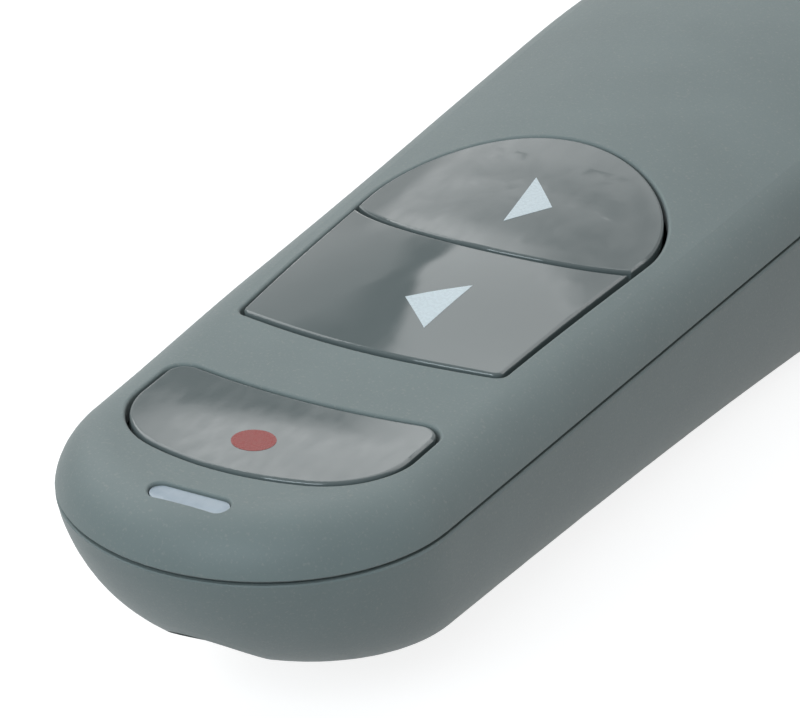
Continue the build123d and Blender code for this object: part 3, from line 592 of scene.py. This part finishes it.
def floor_finish():
    """A matte floor that looks white where no shadow falls on it and lights the object as grey."""
    finish = Finish("pale_floor")
    nodes = finish.tree.nodes
    nodes.remove(finish.shader)
    matte = finish.node("ShaderNodeBsdfDiffuse", Color=(0.4, 0.4, 0.4, 1.0))
    glow = finish.node("ShaderNodeEmission", Color=(1.0, 1.0, 1.0, 1.0), Strength=0.84)
    bright = finish.node("ShaderNodeAddShader")
    finish.link(matte.outputs[0], bright.inputs[0])
    finish.link(glow.outputs[0], bright.inputs[1])
    path = finish.node("ShaderNodeLightPath")
    seen = finish.maths("MAXIMUM", path.outputs["Is Camera Ray"], path.outputs["Is Transmission Ray"])
    seen = finish.maths("MAXIMUM", seen, path.outputs["Is Glossy Ray"])
    mix = finish.node("ShaderNodeMixShader")
    finish.link(seen, mix.inputs[0])
    finish.link(matte.outputs[0], mix.inputs[1])
    finish.link(bright.outputs[0], mix.inputs[2])
    finish.link(mix.outputs[0], nodes["Material Output"].inputs["Surface"])
    return finish.material


def studio_sky(stage):
    """A white background; gloss mirrors a light panel and a pale wall across +Y, and elsewhere a soft grey sky."""
    world = bpy.data.worlds.new("studio")
    world.use_nodes = True
    sky = Wiring(world.node_tree)
    axes = sky.node("ShaderNodeSeparateXYZ")
    sky.link(sky.node("ShaderNodeTexCoord").outputs["Generated"], axes.inputs["Vector"])
    rise, ahead = axes.outputs["Z"], axes.outputs["Y"]
    bearing = sky.maths("ARCTAN2", sky.maths("MULTIPLY", axes.outputs["X"], -1.0), ahead)

    def by_bearing(value, low, high, degrees):
        return sky.ramp(value, low, high, *map(math.radians, degrees))

    soft = sky.ramp(rise, stage.horizon, stage.sky, 0.0, 0.8)
    low_rise, high_rise = (math.sin(math.radians(angle)) for angle in PANEL_TURN_RISE)
    turned = sky.ramp(rise, 0.0, math.radians(PANEL_TURN), low_rise, high_rise)
    edge = sky.maths("SUBTRACT", bearing, turned)
    panel = by_bearing(edge, stage.panel, BESIDE_PANEL, PANEL_EDGE)
    panel = sky.maths("ADD", panel, by_bearing(edge, 0.0, EXTRA_LIFT, PANEL_LIFT))
    wall = sky.ramp(ahead, stage.wall, WALL_FADE_SHARE * stage.wall, *WALL_FADE)
    wall = sky.blend(sky.ramp(ahead, 0.0, 1.0, *WALL_TOP), wall, WALL_TOP_STRENGTH)
    wall = sky.blend(by_bearing(bearing, 0.0, 1.0, WALL_END), wall, BESIDE_WALL)
    ahead = sky.maths("SUBTRACT", ahead, by_bearing(bearing, 0.0, WALL_SHIFT, WALL_SHIFT_BEARING))
    gloss = sky.blend(sky.ramp(ahead, 0.0, 1.0, *WALL_START), panel, wall)
    gloss = sky.blend(sky.ramp(ahead, 0.0, 1.0, *GLOSS_SIDE), soft, gloss)
    path = sky.node("ShaderNodeLightPath")
    seen = sky.maths("MAXIMUM", path.outputs["Is Camera Ray"], path.outputs["Is Transmission Ray"])
    strength = sky.blend(path.outputs["Is Glossy Ray"], soft, gloss)
    background = world.node_tree.nodes["Background"]
    sky.link(sky.blend(seen, strength, 1.0), background.inputs["Strength"])
    background.inputs["Color"].default_value = (1.0, 1.0, 1.0, 1.0)
    return world


class CLICKER_OT_stage(bpy.types.Operator):
    """Build the floor, the sky and the studio lights"""

    bl_idname = "clicker.stage"
    bl_label = "Stage"

    def execute(self, context):
        stage = context.scene.clicker_stage
        half = stage.floor_size / 2
        mesh = bpy.data.meshes.new("floor")
        corners = [(-half, -half, 0), (half, -half, 0), (half, half, 0), (-half, half, 0)]
        mesh.from_pydata(corners, [], [(0, 1, 2, 3)])
        mesh.materials.append(floor_finish())
        floor = bpy.data.objects.new("floor", mesh)
        floor.location.z = -0.02 * MM
        context.scene.collection.objects.link(floor)
        context.scene.world = studio_sky(stage)
        softbox("key_light", (-0.55, 0.1, 0.55), (0, 0, 0), width=0.7, height=0.5, power=stage.key_power)
        softbox(
            "cool_light", (0.1, -0.7, 0.5), (0, -0.05, 0.02),
            width=0.5, height=0.3, power=stage.fill_power, colour=(0.82, 0.94, 1.0),
        )
        context.scene.view_settings.view_transform = "Standard"
        return {"FINISHED"}


OPERATORS = (
    CLICKER_OT_camera,
    CLICKER_OT_shells,
    CLICKER_OT_buttons,
    CLICKER_OT_marks,
    CLICKER_OT_light_window,
    CLICKER_OT_laser_module,
    CLICKER_OT_electronics,
    CLICKER_OT_power,
    CLICKER_OT_batteries,
    CLICKER_OT_receiver,
    CLICKER_OT_screws,
    CLICKER_OT_stage,
)


class CLICKER_PT_panel(bpy.types.Panel):
    """Lists the clicker's operators and settings in the sidebar"""

    bl_idname = "CLICKER_PT_panel"
    bl_label = "Presentation clicker"
    bl_space_type = "VIEW_3D"
    bl_region_type = "UI"
    bl_category = "Clicker"

    def draw(self, context):
        for operator in OPERATORS:
            self.layout.operator(operator.bl_idname)
        for name in SETTINGS:
            settings = getattr(context.scene, name)
            box = self.layout.box()
            for key in settings.__annotations__:
                box.prop(settings, key)


def register():
    for group in (*SETTINGS.values(), *OPERATORS, CLICKER_PT_panel):
        bpy.utils.register_class(group)
    for name, group in SETTINGS.items():
        setattr(bpy.types.Scene, name, PointerProperty(type=group))


def unregister():
    for name in SETTINGS:
        delattr(bpy.types.Scene, name)
    for group in reversed((*SETTINGS.values(), *OPERATORS, CLICKER_PT_panel)):
        bpy.utils.unregister_class(group)


def main():
    register()
    for operator in OPERATORS:
        group, name = operator.bl_idname.split(".")
        getattr(getattr(bpy.ops, group), name)()


if __name__ == "__main__":
    main()
